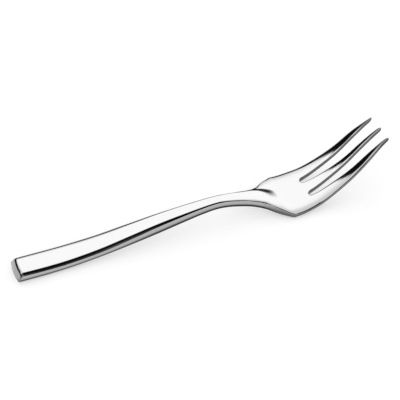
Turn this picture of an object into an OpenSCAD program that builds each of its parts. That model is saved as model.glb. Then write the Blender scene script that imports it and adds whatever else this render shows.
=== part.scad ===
/* [Lengths along the fork] */
// End of the handle to the crest of the neck
handle_len = 81; // [60:1:120]
// Crest of the neck to the lowest point of the palm
neck_len = 28.5; // [24:0.5:45]
// Lowest point of the palm to the tips of the outer tines
tine_reach = 41.5; // [34:0.5:60]
// How much further the middle tine reaches
middle_extra = 0.5; // [0:0.1:2]

/* [Handle] */
// Width of the handle at its widest, near the end
handle_w = 10.9; // [8:0.1:16]
// Thickness of the handle at its end
end_t = 4.4; // [3.6:0.1:6]
// Thickness of the handle where it is thickest
middle_t = 4.9; // [4:0.1:6]
// How far the middle of the end face bulges out
end_bulge = 0.6; // [0.2:0.1:2]
// How far the top of the end face leans back
end_lean = 1.5; // [0:0.1:2]
// Radius round the end face
end_r = 0.9; // [0.4:0.1:1.4]
// Height of the crown across the top of the handle
crown = 0.26; // [0:0.02:0.5]
// Radius along the edges of the handle
handle_edge_r = 1.8; // [0.8:0.1:2]

/* [Neck] */
// Width of the neck at its crest
neck_w = 4.7; // [4:0.1:8]
// Thickness of the neck at its crest
neck_t = 3.6; // [3:0.1:7]
// Radius along the edges of the neck at its crest
neck_edge_r = 0.75; // [0.5:0.05:1.4]
// Height of the neck's underside over the table
neck_rise = 6.5; // [3:0.1:14]
// Width of the low ridge that ends the neck on the palm
ridge_w = 8; // [5:0.5:12]
// Height of that ridge
ridge_h = 0.46; // [0:0.02:0.8]

/* [Head] */
// Width of the palm at its widest
head_w = 24; // [21:0.2:32]
// Width across the tips of the outer tines
tips_w = 15; // [13:0.2:19]
// Thickness of the palm at its lowest point
palm_t = 2.5; // [1.8:0.1:3.2]
// Thickness of a tine at its tip
tip_t = 1; // [0.7:0.1:1.5]
// Height of the tips of the outer tines over the table
tip_rise = 24; // [12:0.2:34]
// Depth of the dish of the palm, and of the middle tine under the outer ones
dish_depth = 0.35; // [0.2:0.05:1.6]
// Height of the crown across each tine
tine_crown = 0.24; // [0:0.02:0.4]
// Radius along the edges of the palm
palm_edge_r = 0.7; // [0.3:0.05:0.8]

/* [Slots] */
// Width of a slot at its round root
slot_w = 2.5; // [1.8:0.1:3.4]
// Middle of one slot root to the middle of the other
slot_spacing = 7.8; // [6.6:0.1:9]
// Lowest point of the palm to the ends of the slots
slot_setback = 9.7; // [5:0.1:13]
// Width of a tine at its tip
tip_w = 1.6; // [1:0.1:2.2]

/* [Hidden] */
// Depth of the flats on which the fork rests
rest_flat = 0.1;
// Distance between two rings of the blank
ring_step = 2.5;
// Lengths over which the bulge and the lean of the end face die out
bulge_fade = 9;
lean_fade = 6;
// Distances from the slot roots at which the dish starts and ends to part into three tines
part_start = -3;
part_end = 8;
// Distances from the slot roots at which the crown of a tine starts and is full
crown_start = 6;
crown_full = 19;
// One overrun for all cuts
over = 2;

// Facets round a quarter of an edge, across half a face, round half a tip and along a tine
edge_facets = 4;
face_facets = 8;
tip_facets = 4;
tine_facets = 10;

crest_x = handle_len;
low_x = crest_x + neck_len;
tips_x = low_x + tine_reach;
fork_len = tips_x + middle_extra;
slot_r = slot_w / 2;
slot_y = slot_spacing / 2;
root_x = low_x + slot_setback + slot_r;
tip_r = tip_w / 2;
tip_y = tips_w / 2 - tip_r;

// Each row is a share of a stretch, then the share of a size that is reached there
rise_shares = [[0, 0], [0.21, 0.005], [0.38, 0.115], [0.53, 0.283], [0.68, 0.5], [0.8, 0.72],
    [0.9, 0.9], [0.96, 0.98], [1, 1]];
drop_shares = [[0, 1], [0.063, 0.985], [0.18, 0.915], [0.35, 0.75], [0.5, 0.575], [0.63, 0.385],
    [0.77, 0.205], [0.87, 0.102], [0.94, 0.034], [1, 0]];
lift_shares = [[0, 0], [0.036, 0.002], [0.075, 0.008], [0.157, 0.03], [0.3, 0.092], [0.47, 0.245],
    [0.64, 0.447], [0.807, 0.712], [0.928, 0.9], [1, 1]];
taper_shares = [[0, 0.97], [0.11, 1], [0.235, 0.98], [0.38, 0.87], [0.53, 0.705], [0.68, 0.46],
    [0.8, 0.26], [0.9, 0.1], [0.97, 0.02], [1, 0]];
flare_shares = [[0, 0], [0.18, 0.01], [0.35, 0.05], [0.5, 0.11], [0.63, 0.22], [0.7, 0.32],
    [0.77, 0.5], [0.84, 0.68], [0.92, 0.84], [1, 1]];
narrow_shares = [[0, 1], [0.036, 0.995], [0.084, 0.98], [0.157, 0.945], [0.3, 0.8], [0.47, 0.63],
    [0.64, 0.49], [0.807, 0.33], [0.928, 0.1], [1, 0]];
fill_shares = [[0, 0], [0.12, -0.3], [0.25, -0.6], [0.42, -0.45], [0.56, 0.55], [0.67, 1]];
thin_shares = [[0, 1], [0.18, 1], [0.35, 1.01], [0.5, 1], [0.62, 1.06], [0.7, 1.05],
    [0.8, 0.85], [0.9, 0.48], [0.96, 0.17], [1, 0]];
tip_thin_shares = [[0, 1], [0.05, 0.8], [0.11, 0.7], [0.33, 0.69], [0.61, 0.67], [0.807, 0.58],
    [0.928, 0.32], [1, 0]];
dish_shares = [[0, 0], [0.5, 0.03], [0.7, 0.12], [0.85, 0.7], [1, 1]];
ridge_shares = [[0, 0], [0.45, 0], [0.62, 0.6], [0.72, 1], [0.86, 0.45], [1, 0]];
waist_shares = [[0, 1], [0.11, 0.8], [0.32, 0.5], [0.54, 0.28], [0.75, 0.14], [1, 0]];

// Share of the handle where it is thickest, and where its edges start to sharpen
thickest_share = 0.67;
soft_share = 0.5;
// Share of half a thickness that an edge may round
flank_share = 0.96;
// Shares of the neck between which its crown dies out
crown_out_shares = [0.3, 0.9];

// Smooth curve through the points of a table
function row_at(table, s, i = 0) =
    i >= len(table) - 2 || s < table[i + 1][0] ? i : row_at(table, s, i + 1);
function slope_at(table, i) =
    let (a = max(i - 1, 0), b = min(i + 1, len(table) - 1))
    (table[b][1] - table[a][1]) / (table[b][0] - table[a][0]);
function smooth(table, s) =
    let (
        i = row_at(table, s),
        run = table[i + 1][0] - table[i][0],
        v = min(max((s - table[i][0]) / run, 0), 1)
    )
    (2 * v ^ 3 - 3 * v ^ 2 + 1) * table[i][1]
    + (v ^ 3 - 2 * v ^ 2 + v) * run * slope_at(table, i)
    + (3 * v ^ 2 - 2 * v ^ 3) * table[i + 1][1]
    + (v ^ 3 - v ^ 2) * run * slope_at(table, i + 1);

// Smooth step from 0 to 1 between two shares
function step_up(s, from, to) = let (v = min(max((s - from) / (to - from), 0), 1)) v * v * (3 - 2 * v);

// Shares of the handle, the neck and the tines that lie behind x
function handle_at(x) = x / handle_len;
function neck_at(x) = (x - crest_x) / neck_len;
function tine_at(x) = (x - low_x) / tine_reach;

// Half of the width at x
function half_w(x) =
    x < crest_x ? (neck_w + (handle_w - neck_w) * smooth(taper_shares, handle_at(x))) / 2
    : x < low_x ? (neck_w + (head_w - neck_w) * smooth(flare_shares, neck_at(x))) / 2
    : (tips_w + (head_w - tips_w) * smooth(narrow_shares, tine_at(x))) / 2;

// Thickness at x
function handle_thick(s) =
    s < thickest_share ? end_t + (middle_t - end_t) * smooth(fill_shares, s)
    : middle_t + (neck_t - middle_t) * step_up(s, thickest_share, 1);
function thick(x) =
    x < crest_x ? handle_thick(handle_at(x))
    : x < low_x ? palm_t + (neck_t - palm_t) * smooth(thin_shares, neck_at(x))
    : tip_t + (palm_t - tip_t) * smooth(tip_thin_shares, tine_at(x));

// Half of the middle tine's width, and the inner edge of an outer tine, at a share of the slot
function slot_at(x) = min(max((x - root_x) / (tips_x - tip_r - root_x), 0), 1);
function middle_edge(s) = tip_r + (slot_y - slot_r - tip_r) * smooth(waist_shares, s);
function outer_edge(s) = slot_y + slot_r + (tip_y - tip_r - slot_y - slot_r) * s;

// Depth of the dish along the fork, and how much lower than the palm's edges it leaves a point
function dish(x) =
    x < crest_x ? 0
    : x < low_x ? dish_depth * smooth(dish_shares, neck_at(x))
    : dish_depth;
function sag(x, y) =
    let (
        parted = step_up(x, root_x + part_start, root_x + part_end),
        whole = 1 - (y / half_w(x)) ^ 2,
        apart = 1 - step_up(abs(y), middle_edge(slot_at(x)), outer_edge(slot_at(x)))
    )
    dish(x) * (whole * (1 - parted) + apart * parted);

// Crown of the handle and the neck, up to where the edges round off
function crown_at(x, y, flat) =
    let (edge = min(flat, handle_w / 2), fade = step_up(neck_at(x), crown_out_shares[0], crown_out_shares[1]))
    2 * crown / handle_w * edge * (1 - fade) * (1 - min(abs(y) / edge, 1) ^ 3);

// The ridge that ends the neck
function ridge_at(x, y) =
    x < crest_x || x > low_x ? 0
    : ridge_h * smooth(ridge_shares, neck_at(x)) * (1 - min(2 * abs(y) / ridge_w, 1) ^ 3) ^ 2;

// How much the top of a tine falls off to its sides
function tine_fall(x, y) =
    let (
        inner = middle_edge(slot_at(x)),
        outer = outer_edge(slot_at(x)),
        half = half_w(x),
        from_middle =
            abs(y) < (inner + outer) / 2 ? abs(y) / inner
            : (2 * abs(y) - half - outer) / (half - outer)
    )
    tine_crown * min(abs(from_middle), 1) ^ 2 * step_up(x, root_x + crown_start, root_x + crown_full);

// Height of the underside along its edges
low_z = dish(low_x) - rest_flat;
function under_z(x) =
    x < crest_x ? (neck_rise + rest_flat) * smooth(rise_shares, handle_at(x)) - rest_flat
    : x < low_x ? low_z + (neck_rise - low_z) * smooth(drop_shares, neck_at(x))
    : low_z + (tip_rise - tip_t - low_z) * smooth(lift_shares, tine_at(x));

// Radius of the edges, as large as the thickness lets it be
function edge_r(x, t) =
    min(
        flank_share * t / 2,
        x < crest_x ? handle_edge_r + (neck_edge_r - handle_edge_r) * step_up(handle_at(x), soft_share, 1)
        : neck_edge_r + (palm_edge_r - neck_edge_r) * step_up(neck_at(x), 0, 1)
    );

// One ring of the blank, drawn in by the inset that rounds the end face
function ring(x, inset) =
    let (
        a = half_w(x) - inset,
        t = thick(x) - 2 * inset,
        r = edge_r(x, t),
        arc = [for (k = [0:edge_facets]) let (w = 90 * k / edge_facets)
            [a - r + r * cos(w), t - r + r * sin(w)]],
        face = [for (j = [1:2 * face_facets - 1]) [(a - r) * (1 - j / face_facets), t]],
        far_arc = [for (k = [edge_facets:-1:0]) [-arc[k][0], arc[k][1]]],
        over_half = concat(arc, face, far_arc),
        bulge = end_bulge * max(1 - x / bulge_fade, 0) ^ 2,
        lean = end_lean * max(1 - x / lean_fade, 0) ^ 2
    )
    [for (side = [1, -1], i = [0:len(over_half) - 1])
        let (
            p = over_half[side > 0 ? i : len(over_half) - 1 - i],
            y = p[0],
            high = max(2 * p[1] / t - 1, 0),
            z = side > 0 ? p[1] + crown_at(x, y, a - r) + ridge_at(x, y) - tine_fall(x, y) * high : t - p[1]
        )
        [x + bulge * (y / half_w(x)) ^ 2 + lean * z / t, y, under_z(x) + inset + z - sag(x, y)]];

// The forged blank, from the end face to a little past the tips
module blank() {
    round_rings = [for (k = [0:edge_facets - 1]) let (w = 90 * k / edge_facets)
        ring(end_r * (1 - cos(w)), end_r * (1 - sin(w)))];
    rings = concat(round_rings, [for (x = [end_r:ring_step:fork_len + over]) ring(x, 0)]);
    count = len(rings[0]);
    last = len(rings) - 1;
    skin = [for (i = [0:last - 1], j = [0:count - 1])
        let (a = i * count + j, b = i * count + (j + 1) % count)
        each [[a, a + count, b], [b, a + count, b + count]]];
    caps = [for (i = [0:count / 2 - 2])
        let (a = i, b = count - 1 - i, m = last * count)
        each [[a, a + 1, b], [a + 1, b - 1, b], [m + a, m + b, m + a + 1], [m + a + 1, m + b, m + b - 1]]];
    polyhedron(points = [for (r = rings) each r], faces = concat(skin, caps), convexity = 10);
}

// Points of an arc round a middle, from one angle to another
function arc_points(x, y, r, from, to) =
    [for (k = [0:2 * tip_facets]) let (w = from + (to - from) * k / tip_facets / 2)
        [x + r * cos(w), y + r * sin(w)]];

// Plan of one slot and of the space past the tips, which rounds them
module slot_plan() {
    middle_run = fork_len - tip_r - root_x;
    outer_run = tips_x - tip_r - root_x;
    trim_x = tips_x - tip_w;
    polygon(concat(
        arc_points(root_x, slot_y, slot_r, 90, 270),
        [for (k = [1:tine_facets - 1]) let (s = k / tine_facets) [root_x + middle_run * s, middle_edge(s)]],
        arc_points(fork_len - tip_r, 0, tip_r, 90, 0),
        [[fork_len + over, 0], [fork_len + over, head_w / 2], [trim_x, head_w / 2], [trim_x, half_w(trim_x)]],
        arc_points(tips_x - tip_r, tip_y, tip_r, 90, -90),
        [for (k = [tine_facets - 1:-1:1]) let (s = k / tine_facets) [root_x + outer_run * s, outer_edge(s)]]
    ));
}

// Everything cut off on one side: the slot and the space past the tips
module slot_cut() {
    linear_extrude(tip_rise + over) slot_plan();
}

// Everything under the table plane, which leaves the flats on which the fork rests
module table_cut() {
    translate([-over, -head_w / 2 - over, -over])
        cube([fork_len + 2 * over, head_w + 2 * over, over]);
}

// One forging: handle, neck, palm and three tines
module fork() {
    color("silver")
    translate([-fork_len / 2, 0, 0])
    difference() {
        blank();
        slot_cut();
        mirror([0, 1, 0]) slot_cut();
        table_cut();
    }
}

fork();
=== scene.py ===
# Small three-tined table fork, forged in one piece and mirror polished
import math

import bpy
import bmesh
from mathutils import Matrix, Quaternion, Vector


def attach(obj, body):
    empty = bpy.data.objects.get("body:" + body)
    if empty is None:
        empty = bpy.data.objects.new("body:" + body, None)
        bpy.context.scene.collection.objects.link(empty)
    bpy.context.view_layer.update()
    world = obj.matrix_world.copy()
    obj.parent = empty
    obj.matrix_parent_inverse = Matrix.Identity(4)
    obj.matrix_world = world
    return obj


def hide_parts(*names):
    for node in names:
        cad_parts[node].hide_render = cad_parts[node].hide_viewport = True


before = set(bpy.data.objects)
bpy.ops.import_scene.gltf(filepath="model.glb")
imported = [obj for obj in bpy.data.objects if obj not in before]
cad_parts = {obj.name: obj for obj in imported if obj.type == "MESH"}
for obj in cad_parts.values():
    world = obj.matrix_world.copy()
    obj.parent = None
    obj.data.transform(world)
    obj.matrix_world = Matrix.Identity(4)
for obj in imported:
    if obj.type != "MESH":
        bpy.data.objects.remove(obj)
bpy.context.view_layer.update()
mm = 0.001  # shape sizes below are in millimetres, the scene is in metres


# Shape tables: each row is a share of a stretch, then the share of a size reached there
shareTables = {
    "rise": [(0, 0), (0.21, 0.005), (0.38, 0.115), (0.53, 0.283), (0.68, 0.5), (0.8, 0.72),
             (0.9, 0.9), (0.96, 0.98), (1, 1)],
    "drop": [(0, 1), (0.063, 0.985), (0.18, 0.915), (0.35, 0.75), (0.5, 0.575), (0.63, 0.385),
             (0.77, 0.205), (0.87, 0.102), (0.94, 0.034), (1, 0)],
    "lift": [(0, 0), (0.036, 0.002), (0.075, 0.008), (0.157, 0.03), (0.3, 0.092), (0.47, 0.245),
             (0.64, 0.447), (0.807, 0.712), (0.928, 0.9), (1, 1)],
    "taper": [(0, 0.97), (0.11, 1), (0.235, 0.98), (0.38, 0.87), (0.53, 0.705), (0.68, 0.46),
              (0.8, 0.26), (0.9, 0.1), (0.97, 0.02), (1, 0)],
    "flare": [(0, 0), (0.18, 0.01), (0.35, 0.05), (0.5, 0.11), (0.63, 0.22), (0.7, 0.32),
              (0.77, 0.5), (0.84, 0.68), (0.92, 0.84), (1, 1)],
    "narrow": [(0, 1), (0.036, 0.995), (0.084, 0.98), (0.157, 0.945), (0.3, 0.8), (0.47, 0.63),
               (0.64, 0.49), (0.807, 0.33), (0.928, 0.1), (1, 0)],
    "fill": [(0, 0), (0.12, -0.3), (0.25, -0.6), (0.42, -0.45), (0.56, 0.55), (0.67, 1)],
    "thin": [(0, 1), (0.18, 1), (0.35, 1.01), (0.5, 1), (0.62, 1.06), (0.7, 1.05),
             (0.8, 0.85), (0.9, 0.48), (0.96, 0.17), (1, 0)],
    "tipThin": [(0, 1), (0.05, 0.8), (0.11, 0.7), (0.33, 0.69), (0.61, 0.67), (0.807, 0.58),
                (0.928, 0.32), (1, 0)],
    "dish": [(0, 0), (0.5, 0.03), (0.7, 0.12), (0.85, 0.7), (1, 1)],
    "ridge": [(0, 0), (0.45, 0), (0.62, 0.6), (0.72, 1), (0.86, 0.45), (1, 0)],
    "waist": [(0, 1), (0.11, 0.8), (0.32, 0.5), (0.54, 0.28), (0.75, 0.14), (1, 0)],
}


def tableSlope(table, i):
    a = max(i - 1, 0)
    b = min(i + 1, len(table) - 1)
    return (table[b][1] - table[a][1]) / (table[b][0] - table[a][0])


def shareOf(name, s):
    # smooth curve through a table's rows
    table = shareTables[name]
    i = 0
    while i < len(table) - 2 and s >= table[i + 1][0]:
        i += 1
    run = table[i + 1][0] - table[i][0]
    v = min(max((s - table[i][0]) / run, 0), 1)
    start = (2 * v ** 3 - 3 * v ** 2 + 1) * table[i][1]
    startSlope = (v ** 3 - 2 * v ** 2 + v) * run * tableSlope(table, i)
    end = (3 * v ** 2 - 2 * v ** 3) * table[i + 1][1]
    endSlope = (v ** 3 - v ** 2) * run * tableSlope(table, i + 1)
    return start + startSlope + end + endSlope


def stepUp(value, low, high):
    v = min(max((value - low) / (high - low), 0), 1)
    return v * v * (3 - 2 * v)


# Fork: sizes in millimetres, x from the end of the handle
forkSizes = {
    "handleLen": 81,
    "neckLen": 28.5,
    "tineReach": 41.5,
    "middleExtra": 0.5,
    "handleWidth": 10.9,
    "endThick": 4.4,
    "middleThick": 4.9,
    "endBulge": 0.6,
    "endRound": 0.65,
    "endLean": 1.5,
    "crown": 0.26,
    "handleEdgeRadius": 1.8,
    "neckEdgeRadius": 0.75,
    "palmEdgeRadius": 0.7,
    "softShare": 0.5,  # share of the handle where its round edges begin to sharpen
    "neckWidth": 4.7,
    "neckThick": 3.6,
    "ridgeWidth": 8,
    "ridgeHeight": 0.46,
    "neckRise": 6.5,
    "headWidth": 23.95,
    "tipsWidth": 15,
    "palmThick": 2.5,
    "tipThick": 1,
    "tipRise": 24,
    "dishDepth": 0.35,
    "slotWidth": 2.5,
    "slotSpacing": 7.8,
    "slotSetback": 9.7,
    "tipWidth": 1.6,
    "restFlat": 0.1,  # the underside is cut off flat at this height where it rests
    "thickestShare": 0.67,  # share of the handle where it is thickest
    "flankShare": 0.97,  # most of half the thickness that an edge's rounding may take
    "tineCrown": 0.24,
    "tineCrownFade": (6, 19),  # past the roots of the slots
    "tinesApart": (-3, 8),  # past the roots too, where the palm's dish passes into the tines
    "handleCrownFade": (0.3, 0.9),  # share of the neck
    "bandsStart": 4,  # past the crest, where the lines begin to spread into tines and slots
    "endRoundReach": 0.35,
    "endBulgeReach": 9,
    "endLeanReach": 6,
    "endLeanPower": 1.3,
    # rougher ground finish on the tips and the head's cut walls, with painted shade darkening their
    # colour
    "tipGroundAndShade": 0.8,
    "tipGroundAndShadeFade": (9, 2),  # before the tips
    "wallGroundAndShadeFade": (17, 26),  # past the crest
    "wallGroundAndShadeHeight": (0.01, 0.1),  # share of the wall, from either rim
    # painted shade: how far the colour of the walls, the end face and the lower edges is darkened
    "sideShade": 0.38,
    "sideShadeFade": (0.7, 0.9),  # share of the half width
    "endShade": 0.5,
    "endShadeFade": (0.05, 0.9),
    "lowerShadeHeight": (0.3, 0.68),
    "lowerShadeSide": (0.55, 0.8),
    "edgeBevel": 0.3,
    "bevelSegments": 2,
    "endRow": 1.6,  # first row in from the end face
    "lowRows": (-0.9, 0, 1.1),  # rows close together at the palm's lowest line
    "handleRows": 30,
    "neckRows": 13,
    "palmRows": 4,
    "tineRows": 19,
    "tineRowPower": 0.95,
    "rootRoundRows": 4,  # rows bent round the roots of the slots
    "rootRoundPower": 1.5,
    "tipRoundRows": 3,  # rows bowed out to the tips
    "smoothLevels": 2,
}

crestX = forkSizes["handleLen"]
lowX = crestX + forkSizes["neckLen"]
tipsX = lowX + forkSizes["tineReach"]
forkLen = tipsX + forkSizes["middleExtra"]
slotR = forkSizes["slotWidth"] / 2
slotY = forkSizes["slotSpacing"] / 2
rootX = lowX + forkSizes["slotSetback"] + slotR
tipR = forkSizes["tipWidth"] / 2
tipY = forkSizes["tipsWidth"] / 2 - tipR
bandCount = 5  # bands across the blank: three tines and two slots
bandLines = 4  # grid lines in each band
slotBands = (1, 3)
middleLine = bandCount * bandLines // 2


def fadeFrom(value, name):
    # 0 to 1 over one of the fork's named fades
    low, high = forkSizes[name]
    return stepUp(value, low, high)


def halfWidth(x):
    f = forkSizes
    if x < crestX:
        extra = (f["handleWidth"] - f["neckWidth"]) * shareOf("taper", x / f["handleLen"])
        return (f["neckWidth"] + extra) / 2
    if x < lowX:
        s = (x - crestX) / f["neckLen"]
        return (f["neckWidth"] + (f["headWidth"] - f["neckWidth"]) * shareOf("flare", s)) / 2
    s = (x - lowX) / f["tineReach"]
    return (f["tipsWidth"] + (f["headWidth"] - f["tipsWidth"]) * shareOf("narrow", s)) / 2


def thickness(x):
    f = forkSizes
    s = x / f["handleLen"]
    if s < f["thickestShare"]:
        return f["endThick"] + (f["middleThick"] - f["endThick"]) * shareOf("fill", s)
    if x < crestX:
        return f["middleThick"] + (f["neckThick"] - f["middleThick"]) * stepUp(s, f["thickestShare"], 1)
    if x < lowX:
        s = (x - crestX) / f["neckLen"]
        return f["palmThick"] + (f["neckThick"] - f["palmThick"]) * shareOf("thin", s)
    s = (x - lowX) / f["tineReach"]
    return f["tipThick"] + (f["palmThick"] - f["tipThick"]) * shareOf("tipThin", s)


def dishAt(x):
    f = forkSizes
    return f["dishDepth"] * shareOf("dish", max((x - crestX) / f["neckLen"], 0))


def underside(x):
    f = forkSizes
    lowZ = dishAt(lowX) - f["restFlat"]
    if x < crestX:
        return (f["neckRise"] + f["restFlat"]) * shareOf("rise", x / f["handleLen"]) - f["restFlat"]
    if x < lowX:
        return lowZ + (f["neckRise"] - lowZ) * shareOf("drop", (x - crestX) / f["neckLen"])
    rise = f["tipRise"] - f["tipThick"] - lowZ
    return lowZ + rise * shareOf("lift", (x - lowX) / f["tineReach"])


def edgeRadius(x):
    f = forkSizes
    if x < crestX:
        sharpen = stepUp(x / crestX, f["softShare"], 1)
        return f["handleEdgeRadius"] + (f["neckEdgeRadius"] - f["handleEdgeRadius"]) * sharpen
    return f["neckEdgeRadius"] + (f["palmEdgeRadius"] - f["neckEdgeRadius"]) * stepUp(x, crestX, lowX)


def bandEdges(x):
    # half widths at x of the whole fork, of the slots' outer walls and of the middle tine
    half = halfWidth(x)
    s = min(max((x - rootX) / (tipsX - tipR - rootX), 0), 1)
    outerWall = slotY + slotR + (tipY - tipR - slotY - slotR) * s
    middleWall = tipR + (slotY - slotR - tipR) * shareOf("waist", s)
    spread = stepUp(x, crestX + forkSizes["bandsStart"], lowX)
    outer = half * 3 / bandCount * (1 - spread) + outerWall * spread
    middle = half / bandCount * (1 - spread) + middleWall * spread
    return half, outer, middle


def rowXs():
    # where the rows of the flat blank lie, up to the roots of the slots
    f = forkSizes
    first = [0, f["endRow"]]
    handle = [crestX * (i / f["handleRows"]) for i in range(2, f["handleRows"] + 1)]
    neck = [crestX + f["neckLen"] * i / f["neckRows"] for i in range(1, f["neckRows"])]
    palm = [lowX + step for step in f["lowRows"]]
    palm += [lowX + (rootX - lowX) * i / f["palmRows"] for i in range(1, f["palmRows"] + 1)]
    return first + handle + neck + palm


def planPoint(row, line, rows):
    # place of one grid corner on the flat blank; k counts the lines out from the middle one
    f = forkSizes
    rootRow = len(rows) - 1
    side = -1 if line < middleLine else 1
    k = abs(line - middleLine)
    halfBand = bandLines / 2
    slotEnd = halfBand + bandLines
    middleTine = k <= halfBand
    if row <= rootRow:
        x = rows[row]
    else:
        reach = forkLen - tipR if middleTine else tipsX - tipR
        s = (row - rootRow) / f["tineRows"]
        x = rootX + (reach - rootX) * (s ** f["tineRowPower"])
    half, outerWall, middleWall = bandEdges(x)
    if middleTine:
        y = middleWall * k / halfBand
    elif k < slotEnd:
        angle = math.pi * (k - halfBand) / bandLines
        y = (outerWall + middleWall) / 2 - (outerWall - middleWall) / 2 * math.cos(angle)
        fade = max(1 - (rootRow - row) / f["rootRoundRows"], 0) ** f["rootRoundPower"]
        x -= slotR * math.sin(angle) * fade if row <= rootRow else 0
    else:
        y = outerWall + (half - outerWall) * (k - slotEnd) / bandLines
    # the last rows bow out to the round tips
    if row > rootRow:
        near = max(1 - (rootRow + f["tineRows"] - row) / f["tipRoundRows"], 0)
        across = k / halfBand if middleTine else (k - slotEnd - halfBand) / halfBand
        x += tipR * math.sqrt(max(1 - across * across, 0)) * near
    return x, side * y


def formPoint(x, y, w):
    # bends a point of the flat blank to the fork's shape; w runs from 0 below to 1 above
    f = forkSizes
    a = halfWidth(x)
    t = thickness(x)
    r = min(f["flankShare"] * t / 2, edgeRadius(x))
    perimeter = (a - r) + math.pi / 2 * r
    along = min(abs(y) / a, 1) * perimeter
    if along > a - r:
        angle = (along - (a - r)) / max(r, 1e-6)
        yNew = a - r + r * math.sin(angle)
        top = t / 2 - r + r * math.cos(angle)
    else:
        yNew = along
        top = t / 2
    across = (yNew / a) ** 2
    z = underside(x) + t / 2 + (2 * w - 1) * top
    # each tine is a little round on top
    half, outerWall, middleWall = bandEdges(x)
    if yNew < (outerWall + middleWall) / 2:
        fromMiddle = yNew / middleWall
    else:
        fromMiddle = (2 * yNew - half - outerWall) / (half - outerWall)
    crownFade = fadeFrom(x - rootX, "tineCrownFade")
    z -= f["tineCrown"] * min(abs(fromMiddle), 1) ** 2 * w * crownFade
    # the palm is dished, and the middle tine lies lower than the outer ones
    apart = fadeFrom(x - rootX, "tinesApart")
    z -= dishAt(x) * ((1 - across) * (1 - apart) + (1 - stepUp(yNew, middleWall, outerWall)) * apart)
    # the handle and the neck are crowned up to where the edges round off
    s = max((x - crestX) / f["neckLen"], 0)
    flat = min(a - r, f["handleWidth"] / 2)
    slope = 2 * f["crown"] / f["handleWidth"] * (1 - fadeFrom(s, "handleCrownFade"))
    z += slope * flat * w * (1 - min(yNew / flat, 1) ** 3)
    # a low ridge ends the neck on the palm
    z += f["ridgeHeight"] * shareOf("ridge", s) * w * (1 - min(2 * yNew / f["ridgeWidth"], 1) ** 3) ** 2
    # the end face is rounded into the top, bows out and leans back
    end = x / f["endRoundReach"]
    near = max(1 - x / f["endBulgeReach"], 0) ** 2
    lean = f["endLean"] * w ** f["endLeanPower"] * max(1 - x / f["endLeanReach"], 0) ** 2
    x += f["endRound"] * end * math.exp(1 - end) + f["endBulge"] * across * near + lean
    return Vector((x - forkLen / 2, math.copysign(yNew, y), max(z, 0))) * mm


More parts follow.
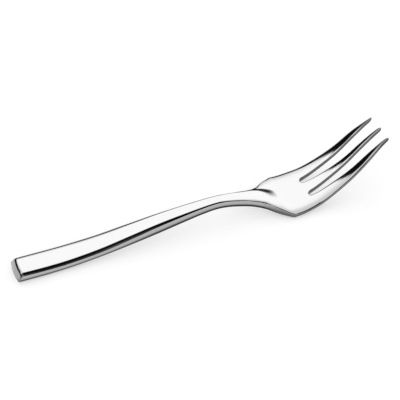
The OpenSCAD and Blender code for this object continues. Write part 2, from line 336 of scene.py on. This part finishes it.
def makeFork():
    f = forkSizes
    rows = rowXs()
    rootRow = len(rows) - 1
    lastRow = rootRow + f["tineRows"]
    bm = bmesh.new()
    lastLine = bandCount * bandLines
    bmesh.ops.create_grid(bm, x_segments=lastRow, y_segments=lastLine, size=0.5)
    places = {}
    for v in bm.verts:
        row = round((v.co.x + 0.5) * lastRow)
        line = round((v.co.y + 0.5) * lastLine)
        places[v] = (row, line)
    # cut the slots out of the blank, then lay it out at full size
    slots = []
    for face in bm.faces:
        row = min(places[v][0] for v in face.verts)
        line = min(places[v][1] for v in face.verts)
        if row >= rootRow and line // bandLines in slotBands:
            slots.append(face)
    for v in bm.verts:
        row, line = places[v]
        x, y = planPoint(row, line, rows)
        v.co = Vector((x, y, 0))
    bmesh.ops.delete(bm, geom=slots, context="FACES")
    # two extrusions make the slab, with a seam line half way up its walls
    for step in range(2):
        flat = [face for face in bm.faces if abs(face.normal.z) > 0.9]  # not the walls
        top = [face for face in flat if face.calc_center_median().z > step - 0.5]
        grown = bmesh.ops.extrude_face_region(bm, geom=top)
        raised = [g for g in grown["geom"] if isinstance(g, bmesh.types.BMVert)]
        bmesh.ops.translate(bm, verts=raised, vec=(0, 0, 1))
    bmesh.ops.delete(bm, geom=top, context="FACES")  # what the second extrusion leaves inside
    bmesh.ops.recalc_face_normals(bm, faces=bm.faces[:])
    # soften every rim of the slab, where a flat face meets a wall
    rims = []
    for edge in bm.edges:
        first, second = [abs(face.normal.z) for face in edge.link_faces]
        if abs(first - second) > 0.7:
            rims.append(edge)
    bmesh.ops.bevel(bm, geom=rims, affect="EDGES", offset=f["edgeBevel"], offset_type="OFFSET",
                    segments=f["bevelSegments"], profile=0.5, material=-1)
    # the seam line stays where it is when the cage is smoothed
    crease = bm.edges.layers.float.new("crease_edge")
    for edge in bm.edges:
        edge[crease] = 1 if all(abs(v.co.z - 1) < 0.001 for v in edge.verts) else 0
    # the cut walls of the head and the tips of the tines keep a rougher ground finish, and painted shade
    # darkens their colour
    groundAndShadeLayer = bm.verts.layers.float.new("groundFinishAndShade")
    # painted shade along the lower edges, the walls and the end face
    shadeLayer = bm.verts.layers.float.new("paintedShadeMask")
    for v in bm.verts:
        w = v.co.z / 2
        x = v.co.x
        wall = fadeFrom(min(w, 1 - w), "wallGroundAndShadeHeight") * fadeFrom(x - crestX, "wallGroundAndShadeFade")
        tip = f["tipGroundAndShade"] * fadeFrom(tipsX - x, "tipGroundAndShadeFade")
        v[groundAndShadeLayer] = max(wall, tip)
        v.co = formPoint(x, v.co.y, w)
        # painted shade: the walls and the end face are darkened in colour, and the lower edges most of
        # all, for the shadowed table they would reflect
        side = abs(v.co.y / mm) / halfWidth(x)
        height = (v.co.z / mm - underside(x)) / thickness(x)
        lower = (1 - fadeFrom(height, "lowerShadeHeight")) * fadeFrom(side, "lowerShadeSide")
        flank = f["sideShade"] * fadeFrom(side, "sideShadeFade")
        end = f["endShade"] * (1 - fadeFrom(x, "endShadeFade"))
        v[shadeLayer] = max(lower, flank, end)
    bmesh.ops.recalc_face_normals(bm, faces=bm.faces[:])
    for face in bm.faces:
        face.smooth = True
    mesh = bpy.data.meshes.new("forkForging")
    openEdges = sum(1 for edge in bm.edges if len(edge.link_faces) != 2)
    print("fork cage:", len(bm.faces), "faces,", openEdges, "open edges")
    bm.to_mesh(mesh)
    bm.free()
    piece = bpy.data.objects.new("forkForging", mesh)
    bpy.context.collection.objects.link(piece)
    smooth = piece.modifiers.new("smooth", "SUBSURF")
    smooth.levels = f["smoothLevels"]
    smooth.render_levels = f["smoothLevels"]
    return piece


def mathNode(nodes, links, operation, first, second):
    node = nodes.new("ShaderNodeMath")
    node.operation = operation
    links.new(first, node.inputs[0])
    links.new(second, node.inputs[1])
    return node.outputs[0]


# Polished steel: bright, with hair-fine polish lines and a little haze, and painted shade darkening its
# walls, tips, end face and lower edges
steelFinish = {
    "color": (0.7, 0.7, 0.705),
    # painted shade on the rougher walls and tips: the colour they are darkened towards
    "wallAndTipShadeColor": (0.15, 0.15, 0.152),
    # painted shade: the colour that the lower edges, walls and end face are darkened towards
    "paintedShadeColor": (0.03, 0.03, 0.031),
    "roughness": 0.05,
    "hazeRoughness": 0.1,
    "groundRoughness": 0.25,
    "hazeScale": 60,
    "hazeDetail": 4,
    "hazeRange": (0.4, 0.7),  # noise levels between which the roughness changes
    "lineScale": (150, 3200, 3200),
    "lineDetail": 2,
    "lineHeight": 0.0000003,
}


def makeSteel():
    s = steelFinish
    material = bpy.data.materials.new("polishedSteel")
    material.use_nodes = True
    nodes = material.node_tree.nodes
    links = material.node_tree.links
    shader = nodes["Principled BSDF"]
    shader.inputs["Metallic"].default_value = 1
    # ground finish mask: makes the surface rougher, and darkens its colour as painted shade
    groundAndShadeMask = nodes.new("ShaderNodeAttribute")
    groundAndShadeMask.attribute_name = "groundFinishAndShade"
    # painted shade mask: darkens the lower edges, the walls and the end face
    lower = nodes.new("ShaderNodeAttribute")
    lower.attribute_name = "paintedShadeMask"
    shadeMix = nodes.new("ShaderNodeMix")
    shadeMix.data_type = "RGBA"
    shadeMix.inputs["A"].default_value = (*s["color"], 1)
    shadeMix.inputs["B"].default_value = (*s["paintedShadeColor"], 1)
    links.new(lower.outputs["Fac"], shadeMix.inputs["Factor"])
    # painted shade on the ground-finished walls and tips
    tint = nodes.new("ShaderNodeMix")
    tint.data_type = "RGBA"
    links.new(shadeMix.outputs["Result"], tint.inputs["A"])
    tint.inputs["B"].default_value = (*s["wallAndTipShadeColor"], 1)
    links.new(groundAndShadeMask.outputs["Fac"], tint.inputs["Factor"])
    links.new(tint.outputs["Result"], shader.inputs["Base Color"])
    place = nodes.new("ShaderNodeTexCoord")
    haze = nodes.new("ShaderNodeTexNoise")
    haze.inputs["Scale"].default_value = s["hazeScale"]
    haze.inputs["Detail"].default_value = s["hazeDetail"]
    links.new(place.outputs["Object"], haze.inputs["Vector"])
    level = nodes.new("ShaderNodeMapRange")
    level.inputs["From Min"].default_value = s["hazeRange"][0]
    level.inputs["From Max"].default_value = s["hazeRange"][1]
    level.inputs["To Min"].default_value = s["roughness"]
    level.inputs["To Max"].default_value = s["hazeRoughness"]
    links.new(haze.outputs["Fac"], level.inputs["Value"])
    rough = nodes.new("ShaderNodeMix")
    rough.data_type = "FLOAT"
    rough.inputs["B"].default_value = s["groundRoughness"]
    links.new(groundAndShadeMask.outputs["Fac"], rough.inputs["Factor"])
    links.new(level.outputs["Result"], rough.inputs["A"])
    links.new(rough.outputs["Result"], shader.inputs["Roughness"])
    # hair-fine lines along the fork
    stretch = nodes.new("ShaderNodeMapping")
    stretch.inputs["Scale"].default_value = s["lineScale"]
    links.new(place.outputs["Object"], stretch.inputs["Vector"])
    line = nodes.new("ShaderNodeTexNoise")
    line.inputs["Scale"].default_value = 1
    line.inputs["Detail"].default_value = s["lineDetail"]
    links.new(stretch.outputs["Vector"], line.inputs["Vector"])
    bump = nodes.new("ShaderNodeBump")
    bump.inputs["Distance"].default_value = s["lineHeight"]
    links.new(line.outputs["Fac"], bump.inputs["Height"])
    links.new(bump.outputs["Normal"], shader.inputs["Normal"])
    return material


fork = makeFork()
fork.data.materials.append(makeSteel())
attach(fork, "root")
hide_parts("fork")
print("fork done")


# Table: white to the camera, and it still takes the fork's soft shadow
tableLook = {
    "radius": 3,  # metres, as in the rim
    "rim": [(2.2, -0.003), (2.5, 0.01), (2.75, 0.05), (2.92, 0.17), (3, 0.46)],
    "rimStart": 13,  # degrees from +Y toward +X; the rim goes round to the left
    "rimTurn": 311,
    "steps": 96,
    "color": (0.5, 0.5, 0.5),
    "roughness": 0.9,
    "glow": 0.53,  # brings the lit table up to white
}


def makeTableWhite():
    t = tableLook
    material = bpy.data.materials.new("whiteTable")
    material.use_nodes = True
    nodes = material.node_tree.nodes
    links = material.node_tree.links
    shader = nodes["Principled BSDF"]
    shader.inputs["Base Color"].default_value = (*t["color"], 1)
    shader.inputs["Roughness"].default_value = t["roughness"]
    shader.inputs["Specular IOR Level"].default_value = 0
    shader.inputs["Emission Color"].default_value = (1, 1, 1, 1)
    # the glow is there for the camera, reflections and glass, and lights nothing else
    path = nodes.new("ShaderNodeLightPath")
    seen = mathNode(nodes, links, "MAXIMUM", path.outputs["Is Camera Ray"], path.outputs["Is Glossy Ray"])
    seen = mathNode(nodes, links, "MAXIMUM", seen, path.outputs["Is Transmission Ray"])
    glow = nodes.new("ShaderNodeMath")
    glow.operation = "MULTIPLY"
    glow.inputs[1].default_value = t["glow"]
    links.new(seen, glow.inputs[0])
    links.new(glow.outputs[0], shader.inputs["Emission Strength"])
    return material


def makeTable():
    t = tableLook
    bm = bmesh.new()
    bmesh.ops.create_circle(bm, cap_ends=True, radius=t["radius"], segments=t["steps"])
    # a low rim stands round it as a backdrop, with a gap for the back light
    start = math.radians(t["rimStart"])
    line = []
    for reach, z in t["rim"]:
        line.append(bm.verts.new((reach * math.sin(start), reach * math.cos(start), z)))
    edges = [bm.edges.new(pair) for pair in zip(line, line[1:])]
    bmesh.ops.spin(bm, geom=line + edges, cent=(0, 0, 0), axis=(0, 0, 1),
                   angle=math.radians(t["rimTurn"]), steps=t["steps"])
    for face in bm.faces:
        face.smooth = True
    mesh = bpy.data.meshes.new("table")
    bm.to_mesh(mesh)
    bm.free()
    table = bpy.data.objects.new("table", mesh)
    bpy.context.collection.objects.link(table)
    mesh.materials.append(makeTableWhite())


makeTable()
print("table done")


# Studio: round soft lights in a dark room; angles in degrees, turn from +Y toward +X
studioLook = {
    "backLight": {"turn": 17, "rise": 43, "radius": 42, "edge": 3, "share": 1},
    "otherLights": [
        {"turn": -70, "rise": 62, "radius": 23, "edge": 3, "share": 1},
        {"turn": 46, "rise": 25, "radius": 16, "edge": 3, "share": 1},
        {"turn": 105, "rise": 42, "radius": 18, "edge": 5, "share": 1},
        {"turn": 200, "rise": 24, "radius": 24, "edge": 8, "share": 0.26},  # dim, behind the camera
    ],
    "foot": (0.29, -0.56, 0.776),  # the back light stays on this side of the plane across it
    "footEdge": 0.03,
    "domeLevel": 1,
    "lightLevel": 1.35,
    "roomLevel": 0.006,
}


def aimedAt(turn, rise):
    turn = math.radians(turn)
    rise = math.radians(rise)
    return Vector((math.sin(turn) * math.cos(rise), math.cos(turn) * math.cos(rise), math.sin(rise)))


def addLight(nodes, links, direction, light):
    # a soft-edged disc in the sky
    dot = nodes.new("ShaderNodeVectorMath")
    dot.operation = "DOT_PRODUCT"
    dot.inputs[1].default_value = aimedAt(light["turn"], light["rise"])
    links.new(direction, dot.inputs[0])
    disc = nodes.new("ShaderNodeMapRange")
    disc.interpolation_type = "SMOOTHSTEP"
    disc.inputs["From Min"].default_value = math.cos(math.radians(light["radius"] + light["edge"]))
    disc.inputs["From Max"].default_value = math.cos(math.radians(light["radius"] - light["edge"]))
    disc.inputs["To Max"].default_value = light["share"]
    links.new(dot.outputs["Value"], disc.inputs["Value"])
    return disc.outputs["Result"]


def makeStudio():
    s = studioLook
    world = bpy.data.worlds.new("studio")
    bpy.context.scene.world = world
    world.use_nodes = True
    nodes = world.node_tree.nodes
    links = world.node_tree.links
    back = nodes["Background"]
    back.inputs["Color"].default_value = (1, 1, 1, 1)
    place = nodes.new("ShaderNodeTexCoord")
    direction = place.outputs["Generated"]
    backDisc = addLight(nodes, links, direction, s["backLight"])
    # the back light ends above the table in a slanting foot
    slant = nodes.new("ShaderNodeVectorMath")
    slant.operation = "DOT_PRODUCT"
    slant.inputs[1].default_value = s["foot"]
    links.new(direction, slant.inputs[0])
    foot = nodes.new("ShaderNodeMapRange")
    foot.interpolation_type = "SMOOTHSTEP"
    foot.inputs["From Min"].default_value = -s["footEdge"]
    foot.inputs["From Max"].default_value = s["footEdge"]
    links.new(slant.outputs["Value"], foot.inputs["Value"])
    lit = mathNode(nodes, links, "MULTIPLY", backDisc, foot.outputs["Result"])
    for light in s["otherLights"]:
        lit = mathNode(nodes, links, "MAXIMUM", lit, addLight(nodes, links, direction, light))
    level = nodes.new("ShaderNodeMapRange")
    level.inputs["To Min"].default_value = s["roomLevel"]
    level.inputs["To Max"].default_value = s["lightLevel"]
    links.new(lit, level.inputs["Value"])
    # matt surfaces are lit by an even dome, so the table keeps a soft contact shadow
    path = nodes.new("ShaderNodeLightPath")
    dome = nodes.new("ShaderNodeMix")
    dome.data_type = "FLOAT"
    dome.inputs["B"].default_value = s["domeLevel"]
    links.new(path.outputs["Is Diffuse Ray"], dome.inputs["Factor"])
    links.new(level.outputs["Result"], dome.inputs["A"])
    links.new(dome.outputs["Result"], back.inputs["Strength"])


makeStudio()
print("studio done")


# Camera at the photo's angle
cameraSetup = {
    "aim": (-0.16, 1.94, 9.97),
    "turn": 22.81,
    "rise": 41.81,
    "distance": 496.95,
    "roll": 0.25,
    "lens": 117,
    "sensorWidth": 36,
    "clip": (0.01, 20),  # metres
}


def makeCamera():
    c = cameraSetup
    back = aimedAt(c["turn"] + 180, c["rise"])
    data = bpy.data.cameras.new("camera")
    data.lens = c["lens"]
    data.sensor_width = c["sensorWidth"]
    data.clip_start, data.clip_end = c["clip"]
    camera = bpy.data.objects.new("camera", data)
    camera.location = (Vector(c["aim"]) + back * c["distance"]) * mm
    camera.rotation_mode = "QUATERNION"
    level = (-back).to_track_quat("-Z", "Y")
    camera.rotation_quaternion = level @ Quaternion((0, 0, 1), math.radians(c["roll"]))
    bpy.context.collection.objects.link(camera)
    bpy.context.scene.camera = camera


makeCamera()
bpy.context.scene.view_settings.view_transform = "Standard"
print("camera done")
